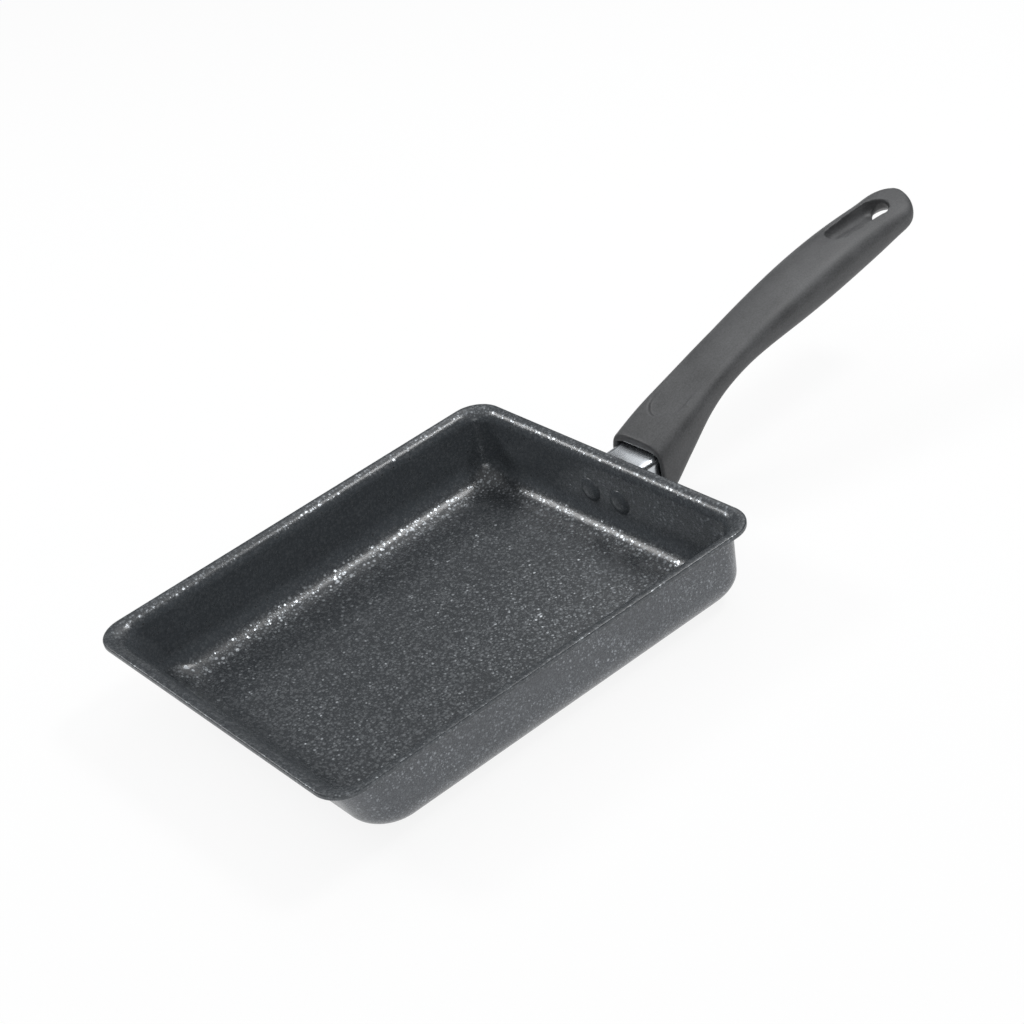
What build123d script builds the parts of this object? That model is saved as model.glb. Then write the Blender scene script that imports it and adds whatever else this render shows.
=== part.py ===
from build123d import *
import math
import os

# Tamagoyaki pan: a pressed, coated aluminium tray with a riveted steel bracket and a moulded grip.
# +Z is up, +X points along the handle, and the origin is on the resting face, below the tray's middle.
# All lengths are millimetres and all angles are degrees.

# Tray, measured over the lip
tray_length = 190.0
tray_width_at_handle = 154.0
tray_width_at_front = 146.0
tray_height = 33.5
rim_corner_radius = 11.5
lip_overhang = 3.4
lip_edge_height = 1.9
lip_underside_rise = 2.2
lip_flare_depth = 5.0
lip_crest_width = 1.4
lip_crest_round = 0.6
wall_thickness = 2.2
floor_thickness = 2.6
side_draft = 1.4
front_draft = 14.0
side_floor_radius = 13.6
front_floor_radius = 20.0
back_floor_radius = 11.5
wall_corner_radius = 12.0
base_corner_radius = 12.0

# Rivets through the tray's back wall
rivet_spacing = 16.0
rivet_rise = 0.5
rivet_shank_radius = 2.4
rivet_head_radius = 5.2
rivet_head_height = 1.2
rivet_tail_radius = 4.2
rivet_tail_height = 1.8
rivet_edge_round = 0.5

# Pressed steel bracket
sheet_thickness = 1.5
bracket_drop = 6.1
flange_width = 31.0
flange_margin = 4.2
flange_corner_radius = 4.0
sheet_bend_radius = 3.2
root_bend_radius = 1.4
neck_width = 22.0
neck_side_drop = 10.5
neck_side_gap = 7.0
neck_reach = 17.0
socket_reach = 13.0
tongue_width = 15.0
tongue_reach = 41.0
tongue_rise_angle = 19.0
fit_clearance = 0.3

# Moulded grip
grip_gap = 14.5
grip_length = 160.2
grip_front_rise = 5.0
grip_end_rise = 34.9
grip_front_depth = 27.2
grip_half_width = 14.1
mouth_wall = 2.3
mouth_floor_wall = 4.2
mouth_depth = 5.0
mouth_corner_radius = 4.5

# Thumb recess on top of the grip
thumb_length = 46.0
thumb_width = 22.0
thumb_depth = 1.3
thumb_start = 10.0

# Hanging eye at the end of the grip: an oval trough with a tilted hole through its floor
eye_start = 116.5
eye_length = 37.5
eye_start_radius = 5.2
eye_end_radius = 7.2
eye_entry_depth = 4.2
eye_entry_length = 8.0
eye_depth = 6.5
eye_hole_radius = 4.4
eye_hole_inset = 1.6
eye_hole_tilt = 28.0
eye_hole_flare = 3.6
eye_hole_reach = 12.0

# Fixing screw, from below, with its lock washer and the nut pressed into the tongue
screw_place = 25.0
screw_radius = 2.0
screw_head_radius = 3.9
screw_head_height = 2.4
recess_arm_length = 3.4
recess_arm_width = 0.9
recess_arm_depth = 1.2
washer_outer_radius = 3.7
washer_thickness = 1.0
well_radius = 4.6
seat_thickness = 5.2
nut_radius = 3.3
nut_height = 2.6
nut_collar_radius = 2.9
nut_pocket_clearance = 0.4

# One overrun serves every cut
overrun = 5.0

# Worked-out places
half_length = tray_length / 2
wall_face_x = half_length - lip_overhang
inner_wall_x = wall_face_x - wall_thickness
lip_bottom_z = tray_height - lip_edge_height - lip_underside_rise
flange_back_x = wall_face_x + sheet_thickness
bend_x = wall_face_x + neck_reach
grip_front_x = half_length + grip_gap
bracket_top_height = tray_height - bracket_drop
rivet_height = back_floor_radius + rivet_head_radius + rivet_rise
grip_front_top = bracket_top_height + grip_front_rise
grip_end_top = grip_front_top + grip_end_rise
tongue_turn = math.radians(tongue_rise_angle)
tongue_plane = Plane(
    origin=(bend_x, 0, bracket_top_height),
    x_dir=(math.cos(tongue_turn), 0, math.sin(tongue_turn)),
    z_dir=(-math.sin(tongue_turn), 0, math.cos(tongue_turn)),
)

# Heights up a floor curve, and up the flared rim, as shares of a quarter turn
curve_step_shares = (0.0, 0.14, 0.29, 0.45, 0.63, 0.82, 1.0)
flare_step_shares = (0.35, 0.62, 0.84, 1.0)

# Grip sections from the tray end to the far end. Places are shares of the grip's length, tops are shares
# of the rise from the front top to the end top, depths are shares of the front depth, and half widths
# are shares of the widest half width.
grip_place_shares = (0.0, 0.04, 0.08, 0.12, 0.17, 0.23, 0.30, 0.40, 0.52, 0.64, 0.755, 0.855, 0.93, 0.965, 0.988, 1.0)
grip_top_shares = (0.0, 0.085, 0.16, 0.228, 0.31, 0.406, 0.513, 0.65, 0.784, 0.893, 0.965, 0.995, 1.006, 1.02, 1.037, 1.04)
grip_depth_shares = (1.0, 0.99, 0.87, 0.752, 0.618, 0.525, 0.507, 0.561, 0.645, 0.69, 0.666, 0.582, 0.487, 0.427, 0.29, 0.125)
grip_width_shares = (1.0, 1.005, 0.99, 0.955, 0.893, 0.843, 0.825, 0.85, 0.92, 0.96, 0.953, 0.928, 0.91, 0.85, 0.575, 0.21)

# How square a section is at its top and bottom: 2 is an ellipse, and more is squarer
dome_power_at_front = 3.6
dome_power_at_end = 2.3
belly_power_at_front = 3.4
belly_power_at_end = 2.4
square_fade_share = 0.35
section_points = 20


def wall_inset(height, base_inset, lean, curve_radius):
    # Inset of a wall's face at a height above its floor, with a round where wall and floor meet.
    curve_centre = curve_radius * (1 - math.sin(lean)) / math.cos(lean)
    curve_top = curve_radius * (1 - math.sin(lean))
    if height >= curve_top:
        return base_inset - height * math.tan(lean)
    across = math.sqrt(curve_radius**2 - (curve_radius - height) ** 2)
    return base_inset + curve_centre - across


def tray_section(height, side_inset, back_inset, front_inset, corner_radius):
    # A level four-sided outline with round corners, inset from the lip's outer edge by three amounts.
    back_x = half_length - back_inset
    front_x = front_inset - half_length
    widening = (tray_width_at_handle - tray_width_at_front) / tray_length

    def half_width(place_x):
        middle = (tray_width_at_handle + tray_width_at_front) / 2
        return (middle + place_x * widening) / 2 - side_inset

    corners = [
        (front_x, -half_width(front_x)),
        (back_x, -half_width(back_x)),
        (back_x, half_width(back_x)),
        (front_x, half_width(front_x)),
    ]
    outline = make_face(Polyline(*corners, close=True))
    outline = fillet(outline.vertices(), corner_radius)
    return Pos(0, 0, height) * outline


def faced_section(height, skin, floor_height):
    # The tray's outline at one height, on its outer face (skin zero) or its inner face (skin a thickness).
    # The draft is spread over the tray's whole height, and inner rounds are the outer ones less the wall.
    above = height - floor_height
    side_lean = math.atan(side_draft / tray_height)
    front_lean = math.atan(front_draft / tray_height)
    side_base = lip_overhang + side_draft + skin / math.cos(side_lean) - floor_height * math.tan(side_lean)
    front_base = lip_overhang + front_draft + skin / math.cos(front_lean) - floor_height * math.tan(front_lean)
    side_inset = wall_inset(above, side_base, side_lean, side_floor_radius - skin)
    front_inset = wall_inset(above, front_base, front_lean, front_floor_radius - skin)
    back_inset = wall_inset(above, lip_overhang + skin, 0, back_floor_radius - skin)
    deepest = wall_inset(0, side_base, side_lean, side_floor_radius - skin) - side_base
    share_in = max(0, (side_inset - side_base) / deepest)
    radius = wall_corner_radius - skin + share_in * (base_corner_radius - wall_corner_radius + skin)
    return tray_section(height, side_inset, back_inset, front_inset, radius)


def curve_heights(floor_height, curve_radius):
    return [
        floor_height + curve_radius * (1 - math.cos(math.radians(90 * share)))
        for share in curve_step_shares
    ]


def tray_block(skin, floor_height, top_height):
    # A solid with the tray's outer or inner form, from its floor up to a level. The back wall is flat
    # above its own round, and the rounds of the other walls may end a little higher.
    heights = curve_heights(floor_height, back_floor_radius - skin)
    curved = loft([faced_section(height, skin, floor_height) for height in heights])
    front_lean = math.atan(front_draft / tray_height)
    side_lean = math.atan(side_draft / tray_height)
    round_tops = [
        floor_height + (side_floor_radius - skin) * (1 - math.sin(side_lean)),
        floor_height + (front_floor_radius - skin) * (1 - math.sin(front_lean)),
    ]
    steps = [heights[-1], *sorted(top for top in round_tops if top > heights[-1]), top_height]
    straight = loft([faced_section(height, skin, floor_height) for height in steps], ruled=True)
    return curved + straight


def lip_section(height, inset, corner_radius):
    return tray_section(height, inset, inset, inset, corner_radius)


def lip_block():
    # The lip's outer form: its underside slopes out from the wall to an upright edge.
    edge_z = tray_height - lip_edge_height
    underside = loft(
        [faced_section(lip_bottom_z, 0, 0), lip_section(edge_z, 0, rim_corner_radius)],
        ruled=True,
    )
    edge = loft(
        [lip_section(edge_z, 0, rim_corner_radius), lip_section(tray_height, 0, rim_corner_radius)],
        ruled=True,
    )
    return underside + edge


def flare_block():
    # The hollow of the flared rim: it opens out in a round from the inner wall to the lip's crest.
    bottom_z = tray_height - lip_flare_depth
    bottom = faced_section(bottom_z, wall_thickness, floor_thickness)
    spread = lip_overhang + wall_thickness - lip_crest_width
    sections = [bottom]
    for share in flare_step_shares:
        opening = spread * (1 - math.cos(math.radians(90 * share)))
        height = bottom_z + lip_flare_depth * math.sin(math.radians(90 * share))
        drawn_in = 1 - opening / spread
        lean_share = (tray_height - height) / tray_height
        radius = rim_corner_radius - lip_crest_width - drawn_in * (rim_corner_radius - wall_corner_radius)
        sections.append(
            tray_section(
                height,
                lip_crest_width + spread * drawn_in + side_draft * lean_share,
                lip_crest_width + spread * drawn_in,
                lip_crest_width + spread * drawn_in + front_draft * lean_share,
                radius,
            )
        )
    opened = loft(sections, ruled=True)
    above = extrude(tray_section(tray_height, lip_crest_width, lip_crest_width, lip_crest_width,
                                 rim_corner_radius - lip_crest_width), overrun)
    return opened + above


def rivet_places():
    return [(side * rivet_spacing / 2, rivet_height) for side in (-1, 1)]


def rod_along_x(radius, start_x, end_x, place):
    across = Plane(origin=(start_x, place[0], place[1]), x_dir=(0, 1, 0), z_dir=(1, 0, 0))
    return extrude(across * Circle(radius), end_x - start_x)


def make_tray():
    outer = tray_block(0, 0, lip_bottom_z) + lip_block()
    inner = tray_block(wall_thickness, floor_thickness, tray_height - lip_flare_depth) + flare_block()
    tray = outer - inner
    crest = [edge for edge in tray.edges() if abs(edge.center().Z - tray_height) < fit_clearance / 10]
    tray = fillet(crest, lip_crest_round)
    for place in rivet_places():
        tray -= rod_along_x(rivet_shank_radius, inner_wall_x - overrun, wall_face_x + overrun, place)
    return tray


def make_rivets():
    # Two low round heads inside the tray, shanks through wall and flange, and set tails outside.
    rivets = []
    for place in rivet_places():
        head = rod_along_x(rivet_head_radius, inner_wall_x - rivet_head_height, inner_wall_x, place)
        head = fillet(head.edges().sort_by(Axis.X)[:1], rivet_head_height - rivet_edge_round)
        shank = rod_along_x(rivet_shank_radius, inner_wall_x, flange_back_x, place)
        tail = rod_along_x(rivet_tail_radius, flange_back_x, flange_back_x + rivet_tail_height, place)
        tail = chamfer(tail.edges().sort_by(Axis.X)[-1:], rivet_edge_round)
        rivets.append(head + shank + tail)
    return Compound(children=rivets)


def channel(plane, width, drop, start, end, bend_radius):
    # A downward channel of bent sheet whose top face lies on the plane, running along its x direction.
    inner_radius = bend_radius - sheet_thickness
    across = Plane(origin=plane.origin + plane.x_dir * start, x_dir=plane.y_dir, z_dir=plane.x_dir)
    outer = Pos(0, -drop / 2) * Rectangle(width, drop)
    outer = fillet(outer.vertices().group_by(Axis.Y)[-1], bend_radius)
    hollow_width = width - 2 * sheet_thickness
    hollow = Pos(0, -sheet_thickness - drop / 2) * Rectangle(hollow_width, drop)
    hollow = fillet(hollow.vertices().group_by(Axis.Y)[-1], inner_radius)
    return extrude(across * (outer - hollow), end - start)


def plate(plane, width, start, end):
    # A flat strip of sheet just under the plane, from one place to another along its x direction.
    strip = Pos((start + end) / 2, 0) * Rectangle(end - start, width)
    return extrude(plane * strip, -sheet_thickness)


def strap(start_z, end_x, width):
    # The strip that lies on the tray's wall, turns over in a round bend and runs level to the neck.
    profile = make_face(
        Polyline(
            (wall_face_x, 0, start_z),
            (wall_face_x, 0, bracket_top_height),
            (end_x, 0, bracket_top_height),
            (end_x, 0, bracket_top_height - sheet_thickness),
            (flange_back_x, 0, bracket_top_height - sheet_thickness),
            (flange_back_x, 0, start_z),
            close=True,
        )
    )
    corners = profile.vertices()
    outer_corner = corners.sort_by_distance((wall_face_x, 0, bracket_top_height))[:1]
    profile = fillet(outer_corner, root_bend_radius + sheet_thickness)
    inner_corner = profile.vertices().sort_by_distance(
        (flange_back_x, 0, bracket_top_height - sheet_thickness)
    )[:1]
    profile = fillet(inner_corner, root_bend_radius)
    return extrude(profile, width / 2, both=True)


def make_bracket():
    level = Plane(origin=(wall_face_x, 0, bracket_top_height), x_dir=(1, 0, 0), z_dir=(0, 0, 1))
    flange_top = bracket_top_height - root_bend_radius - sheet_thickness
    flange_bottom = rivet_height - flange_margin
    flange_face = Plane(
        origin=(wall_face_x, 0, (flange_top + flange_bottom) / 2), x_dir=(0, 1, 0), z_dir=(1, 0, 0)
    )
    flange_outline = Rectangle(flange_width, flange_top - flange_bottom)
    flange_outline = fillet(flange_outline.vertices(), flange_corner_radius)
    flange = extrude(flange_face * flange_outline, sheet_thickness)
    bend = strap(flange_bottom + flange_corner_radius, wall_face_x + neck_side_gap + sheet_thickness, neck_width)
    # The level and the sloped channel meet in the plane that halves the angle between them.
    past_bend = neck_side_drop * math.tan(tongue_turn)
    meeting = Plane(
        origin=tongue_plane.origin,
        x_dir=(0, 1, 0),
        z_dir=(math.cos(tongue_turn / 2), 0, math.sin(tongue_turn / 2)),
    )
    neck = channel(level, neck_width, neck_side_drop, neck_side_gap, neck_reach + past_bend, sheet_bend_radius)
    neck = split(neck, bisect_by=meeting, keep=Keep.BOTTOM)
    socket = channel(tongue_plane, neck_width, neck_side_drop, -past_bend, socket_reach, sheet_bend_radius)
    socket = split(socket, bisect_by=meeting, keep=Keep.TOP)
    tongue = plate(tongue_plane, tongue_width, socket_reach - sheet_bend_radius, tongue_reach)
    bracket = flange + bend + neck + socket + tongue
    for place in rivet_places():
        bracket -= rod_along_x(rivet_shank_radius, wall_face_x - overrun, flange_back_x + overrun, place)
    nut_hole = extrude(tongue_plane * Pos(screw_place, 0) * Circle(nut_collar_radius), -overrun, both=True)
    return bracket - nut_hole


def grip_top(share):
    return grip_front_top + share * grip_end_rise


def grip_crown(place_x):
    # Height of the grip's top line at a place, read straight between its sections.
    share = (place_x - grip_front_x) / grip_length
    index = max(step for step, place in enumerate(grip_place_shares[:-1]) if place <= share)
    span = grip_place_shares[index + 1] - grip_place_shares[index]
    part = (share - grip_place_shares[index]) / span
    return grip_top(grip_top_shares[index] + part * (grip_top_shares[index + 1] - grip_top_shares[index]))


def grip_section(index):
    # One cross-section of the grip, a rounded form that is squarer near the tray.
    place_x = grip_front_x + grip_place_shares[index] * grip_length
    top_z = grip_top(grip_top_shares[index])
    half_depth = grip_depth_shares[index] * grip_front_depth / 2
    half_width = grip_width_shares[index] * grip_half_width
    fade = min(1, grip_place_shares[index] / square_fade_share)
    dome_power = dome_power_at_front + fade * (dome_power_at_end - dome_power_at_front)
    belly_power = belly_power_at_front + fade * (belly_power_at_end - belly_power_at_front)
    points = []
    for step in range(section_points):
        turn = math.radians(90 + 360 * step / section_points)
        power = dome_power if math.sin(turn) >= 0 else belly_power
        across = math.copysign(abs(math.cos(turn)) ** (2 / power), math.cos(turn)) * half_width
        upward = math.copysign(abs(math.sin(turn)) ** (2 / power), math.sin(turn)) * half_depth
        points.append((place_x, across, top_z - half_depth + upward))
    return make_face(Spline(*points, periodic=True))


def grip_blank():
    return loft([grip_section(index) for index in range(len(grip_place_shares))])


def mouth_cut():
    # The hollow at the tray end of the grip, round the bracket's neck.
    width = 2 * (grip_half_width - mouth_wall)
    top_z = bracket_top_height + fit_clearance
    bottom_z = grip_front_top - grip_front_depth + mouth_floor_wall
    front = Plane(origin=(grip_front_x - overrun, 0, (top_z + bottom_z) / 2), x_dir=(0, 1, 0), z_dir=(1, 0, 0))
    outline = fillet(Rectangle(width, top_z - bottom_z).vertices(), mouth_corner_radius)
    return extrude(front * outline, overrun + mouth_depth)


def socket_cut():
    # The sloped slots for the bracket's channel and tongue, with a clearance all round.
    grown = tongue_plane.offset(fit_clearance)
    across = Plane(origin=grown.origin - grown.x_dir * overrun, x_dir=grown.y_dir, z_dir=grown.x_dir)
    drop = neck_side_drop + 2 * fit_clearance
    outline = Pos(0, -drop / 2) * Rectangle(neck_width + 2 * fit_clearance, drop)
    outline = fillet(outline.vertices().group_by(Axis.Y)[-1], sheet_bend_radius)
    socket = extrude(across * outline, overrun + socket_reach + fit_clearance)
    slot_height = sheet_thickness + 2 * fit_clearance
    slot_outline = Pos(0, -slot_height / 2) * Rectangle(tongue_width + 2 * fit_clearance, slot_height)
    slot = extrude(across * slot_outline, overrun + tongue_reach + fit_clearance)
    return socket + slot


def eye_cut():
    # An oval trough that deepens from its near end to a level floor, and a tilted hole, wider below.
    start_x = grip_front_x + eye_start
    end_x = start_x + eye_length
    near_x = start_x + eye_start_radius
    far_x = end_x - eye_end_radius
    floor_z = grip_end_top - eye_depth
    open_z = grip_end_top + overrun
    outline = make_face(
        Polyline(
            (near_x, -eye_start_radius),
            (far_x, -eye_end_radius),
            (far_x, eye_end_radius),
            (near_x, eye_start_radius),
            close=True,
        )
    )
    outline = outline + Pos(near_x, 0) * Circle(eye_start_radius) + Pos(far_x, 0) * Circle(eye_end_radius)
    trough = extrude(Pos(0, 0, floor_z - overrun) * outline, open_z - floor_z + overrun)
    side_view = make_face(
        Polyline(
            (start_x - overrun, 0, open_z + overrun),
            (start_x - overrun, 0, grip_end_top - eye_entry_depth),
            (start_x, 0, grip_end_top - eye_entry_depth),
            (start_x + eye_entry_length, 0, floor_z),
            (end_x + overrun, 0, floor_z),
            (end_x + overrun, 0, open_z + overrun),
            close=True,
        )
    )
    above_floor = extrude(side_view, eye_end_radius + overrun, both=True)
    lean = math.radians(eye_hole_tilt)
    down = Vector(math.sin(lean), 0, -math.cos(lean))
    centre = Vector(end_x - eye_hole_inset, 0, floor_z)
    upper = Plane(origin=centre - down * eye_depth, x_dir=(0, 1, 0), z_dir=down)
    level = Plane(origin=centre, x_dir=(0, 1, 0), z_dir=down)
    lower = Plane(origin=centre + down * eye_hole_reach, x_dir=(0, 1, 0), z_dir=down)
    hole = extrude(upper * Circle(eye_hole_radius), eye_depth + overrun)
    flare = loft([level * Circle(eye_hole_radius), lower * Circle(eye_hole_radius + eye_hole_flare)], ruled=True)
    return (trough & above_floor) + hole + flare


def thumb_cut():
    # A shallow dish in the grip's crown, pressed in by a large ring whose section sets the dish's width.
    first_x = grip_front_x + thumb_start
    last_x = first_x + thumb_length
    tops = [grip_crown(place_x) for place_x in (first_x, last_x)]
    tilt = math.atan((tops[1] - tops[0]) / thumb_length)
    along_radius = (thumb_length / 2) ** 2 / (2 * thumb_depth)
    across_radius = (thumb_width / 2) ** 2 / (2 * thumb_depth)
    lift = along_radius - thumb_depth
    ring = Rot(90, 0, 0) * Torus(along_radius - across_radius, across_radius)
    middle_x = (first_x + last_x) / 2 - lift * math.sin(tilt)
    middle_z = (tops[0] + tops[1]) / 2 + lift * math.cos(tilt)
    return Pos(middle_x, 0, middle_z) * ring


def screw_cut():
    # From below: a well for the screw head, a hole through the seat, and a pocket for the nut above.
    seat_plane = tongue_plane.offset(-sheet_thickness - fit_clearance)
    hole = extrude(seat_plane * Pos(screw_place, 0) * Circle(screw_radius + fit_clearance), -seat_thickness - overrun)
    well_plane = seat_plane.offset(-seat_thickness)
    well = extrude(well_plane * Pos(screw_place, 0) * Circle(well_radius), -grip_front_depth)
    pocket_width = 2 * (nut_radius + nut_pocket_clearance)
    pocket_reach = tongue_reach - screw_place
    pocket = extrude(
        tongue_plane * Pos(screw_place - pocket_reach / 2, 0) * Rectangle(pocket_width + pocket_reach, pocket_width),
        nut_height - sheet_thickness + nut_pocket_clearance,
    )
    return hole + well + pocket


def make_grip():
    return grip_blank() - thumb_cut() - mouth_cut() - socket_cut() - eye_cut() - screw_cut()


def make_nut():
    # A press-in nut: its collar fills the tongue's hole and its wider body stands above the tongue.
    body = extrude(tongue_plane * Pos(screw_place, 0) * Circle(nut_radius), nut_height - sheet_thickness)
    collar = extrude(tongue_plane * Pos(screw_place, 0) * Circle(nut_collar_radius), -sheet_thickness)
    bore = extrude(tongue_plane * Pos(screw_place, 0) * Circle(screw_radius), nut_height, both=True)
    return body + collar - bore


def head_seat_plane():
    return tongue_plane.offset(-sheet_thickness - fit_clearance - seat_thickness)


def make_washer():
    seat = head_seat_plane() * Pos(screw_place, 0)
    ring = extrude(seat * Circle(washer_outer_radius), -washer_thickness)
    return ring - extrude(seat * Circle(screw_radius), -washer_thickness - overrun, both=True)


def make_screw():
    under_head = head_seat_plane().offset(-washer_thickness)
    screw_length = washer_thickness + seat_thickness + fit_clearance + nut_height
    shank = extrude(under_head * Pos(screw_place, 0) * Circle(screw_radius), screw_length)
    head = extrude(under_head * Pos(screw_place, 0) * Circle(screw_head_radius), -screw_head_height)
    head_end = under_head.offset(-screw_head_height)
    rim = [edge for edge in head.edges() if abs((edge.center() - head_end.origin).dot(head_end.z_dir)) < fit_clearance]
    head = fillet(rim, screw_head_height / 2)
    arms = Rectangle(recess_arm_length, recess_arm_width) + Rectangle(recess_arm_width, recess_arm_length)
    recess = extrude(head_end * Pos(screw_place, 0) * arms, recess_arm_depth)
    return shank + (head - recess)


def main():
    os.makedirs("parts", exist_ok=True)
    pieces = {
        "pan_tray": make_tray(),
        "pan_rivets": make_rivets(),
        "handle_bracket": make_bracket(),
        "handle_grip": make_grip(),
        "tongue_nut": make_nut(),
        "lock_washer": make_washer(),
        "handle_screw": make_screw(),
    }
    for name, shape in pieces.items():
        export_step(shape, f"parts/{name}.step")
        print(name, len(shape.solids()), "solid(s)", round(shape.volume / 1000, 2), "cm3")


if __name__ == "__main__":
    main()
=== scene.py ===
from math import atan, copysign, cos, hypot, pi, radians, sin, sqrt, tan

import bmesh
import bpy
import numpy as np
from bpy.props import FloatProperty, FloatVectorProperty, IntProperty, PointerProperty
from bpy.types import NodeSocket, Operator, Panel, PropertyGroup, Scene
from mathutils import Matrix, Vector


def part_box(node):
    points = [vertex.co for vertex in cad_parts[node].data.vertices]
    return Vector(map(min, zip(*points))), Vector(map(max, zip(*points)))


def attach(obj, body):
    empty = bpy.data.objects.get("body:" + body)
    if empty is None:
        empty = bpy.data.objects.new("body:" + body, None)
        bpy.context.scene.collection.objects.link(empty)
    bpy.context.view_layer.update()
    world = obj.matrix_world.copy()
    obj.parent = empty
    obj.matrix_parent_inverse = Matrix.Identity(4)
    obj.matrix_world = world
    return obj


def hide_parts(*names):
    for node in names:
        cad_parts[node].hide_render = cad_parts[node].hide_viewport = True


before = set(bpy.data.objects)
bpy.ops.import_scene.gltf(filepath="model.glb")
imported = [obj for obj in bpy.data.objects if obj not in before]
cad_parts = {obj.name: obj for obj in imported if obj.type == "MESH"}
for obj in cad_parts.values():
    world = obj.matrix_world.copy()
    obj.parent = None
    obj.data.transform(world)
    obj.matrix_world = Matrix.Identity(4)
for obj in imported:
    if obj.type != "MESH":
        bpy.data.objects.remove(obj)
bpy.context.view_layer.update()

bl_info = {
    "name": "Omelette pan",
    "version": (1, 0, 0),
    "blender": (4, 5, 0),
    "location": "3D View > Sidebar > Pan",
    "description": "Dresses the omelette pan: coated tray, rivets, steel bracket, moulded grip and its screw",
    "category": "Object",
}

MM = 0.001
TRAY_LOW, TRAY_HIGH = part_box("pan_tray")
GRIP_LOW, GRIP_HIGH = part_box("handle_grip")

# Grip sections from the tray end to the far end: place, height of the top, depth and half width, as shares
# of the grip's length, rise, front depth and widest half width.
GRIP_SECTIONS = (
    (0.0, 0.0, 1.0, 1.0), (0.04, 0.085, 0.99, 1.005), (0.08, 0.16, 0.87, 0.99), (0.12, 0.228, 0.752, 0.955),
    (0.17, 0.31, 0.618, 0.893), (0.23, 0.406, 0.525, 0.843), (0.30, 0.513, 0.507, 0.825), (0.40, 0.65, 0.561, 0.85),
    (0.52, 0.784, 0.645, 0.92), (0.64, 0.893, 0.69, 0.96), (0.755, 0.965, 0.672, 0.953), (0.855, 0.995, 0.598, 0.928),
    (0.93, 1.006, 0.51, 0.915), (0.965, 1.02, 0.45, 0.87), (0.988, 1.037, 0.31, 0.61), (1.0, 1.04, 0.13, 0.22),
)

# Layers of flecks in the coating: spacing as a share of the largest, least and most radius as shares of the
# spacing, strength, and strength outside the tray as a share of that inside.
FLECK_LAYERS = ((1.0, 0.16, 0.38, 1.2, 0.45), (0.66, 0.18, 0.42, 1.0, 0.9), (0.42, 0.20, 0.46, 0.5, 1.7))

# Heights of the tray's rings on the upright parts of its walls, outside going up and inside going down.
OUTER_WALL_HEIGHTS = (15 * MM, 18 * MM, 21 * MM, 24 * MM, 26.5 * MM)
INNER_WALL_HEIGHTS = (26 * MM, 23 * MM, 20 * MM, 17.5 * MM, 15.5 * MM)

# Steps of the tray's rings along its two sides and across its two ends.
SIDE_STEPS, END_STEPS = 30, 24

# Soft lamps: name, which is also that of the power in the settings, place and width. All face AIM.
LAMPS = (
    ("front", (-0.64, -0.86, 0.66), 0.36),
    ("right", (0.70, -0.30, 1.07), 0.30),
    ("left", (-0.44, 0.86, 0.82), 0.36),
    ("back", (0.46, 0.24, 0.56), 0.42),
)
AIM = Vector((0.08, 0.0, 0.0))


def size(label, words, millimetres, smallest=0.0):
    return FloatProperty(
        name=label, description=words, default=millimetres * MM, min=smallest, unit="LENGTH", precision=5
    )


def angle(label, words, degrees):
    return FloatProperty(name=label, description=words, default=radians(degrees), unit="ROTATION")


def number(label, words, value):
    return FloatProperty(name=label, description=words, default=value)


def integer(label, words, value, least):
    return IntProperty(name=label, description=words, default=value, min=least)


def colour(label, words, value):
    return FloatVectorProperty(
        name=label, description=words, default=value, size=3, min=0.0, max=1.0, subtype="COLOR"
    )


def share(label, words, value, largest=1.0):
    return FloatProperty(name=label, description=words, default=value, min=0.0, max=largest)


class PanTraySettings(PropertyGroup):
    length: size("Length", "Tray length over the lip", (TRAY_HIGH.x - TRAY_LOW.x) / MM)
    width_at_handle: size("Width at the handle", "Tray width over the lip at the handle", 154.0)
    width_at_front: size("Width at the front", "Tray width over the lip at the front", 146.0)
    height: size("Height", "Tray height to the lip's crest", TRAY_HIGH.z / MM)
    rim_corner: size("Rim corner", "Radius of the lip's corners seen from above", 11.5)
    wall_corner: size("Wall corner", "Radius of the upright corners", 12.0)
    lip_overhang: size("Lip overhang", "How far the lip stands out from the back wall", 3.4)
    lip_edge: size("Lip edge", "Height of the lip's upright edge", 1.9)
    lip_rise: size("Lip rise", "Rise of the lip's underside from wall to edge", 2.2)
    crest_width: size("Crest width", "Width of the lip's level crest", 0.9)
    lip_rounds: FloatVectorProperty(
        name="Lip rounds", description="Rounds of the lip, root to crest",
        default=(1.5 * MM, 0.5 * MM, 0.6 * MM), size=3, precision=5, unit="LENGTH",
    )
    flare_depth: size("Flare depth", "Depth over which the rim flares out inside", 5.0)
    wall: size("Wall", "Thickness of the tray's wall", 2.2)
    floor: size("Floor", "Thickness of the tray's floor", 2.6)
    side_draft: size("Side draft", "How far the sides lean out", 1.4)
    front_draft: size("Front draft", "How far the front wall leans out", 14.0)
    side_round: size("Side round", "Outer radius where the sides meet the floor", 13.6)
    front_round: size("Front round", "Outer radius where the front wall meets the floor", 20.0)
    back_round: size("Back round", "Outer radius where the back wall meets the floor", 11.5)
    corner_steps: integer("Corner steps", "Steps round each upright corner", 18, 4)
    flare_steps: integer("Flare steps", "Steps down the flare of the rim", 16, 4)


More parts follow.
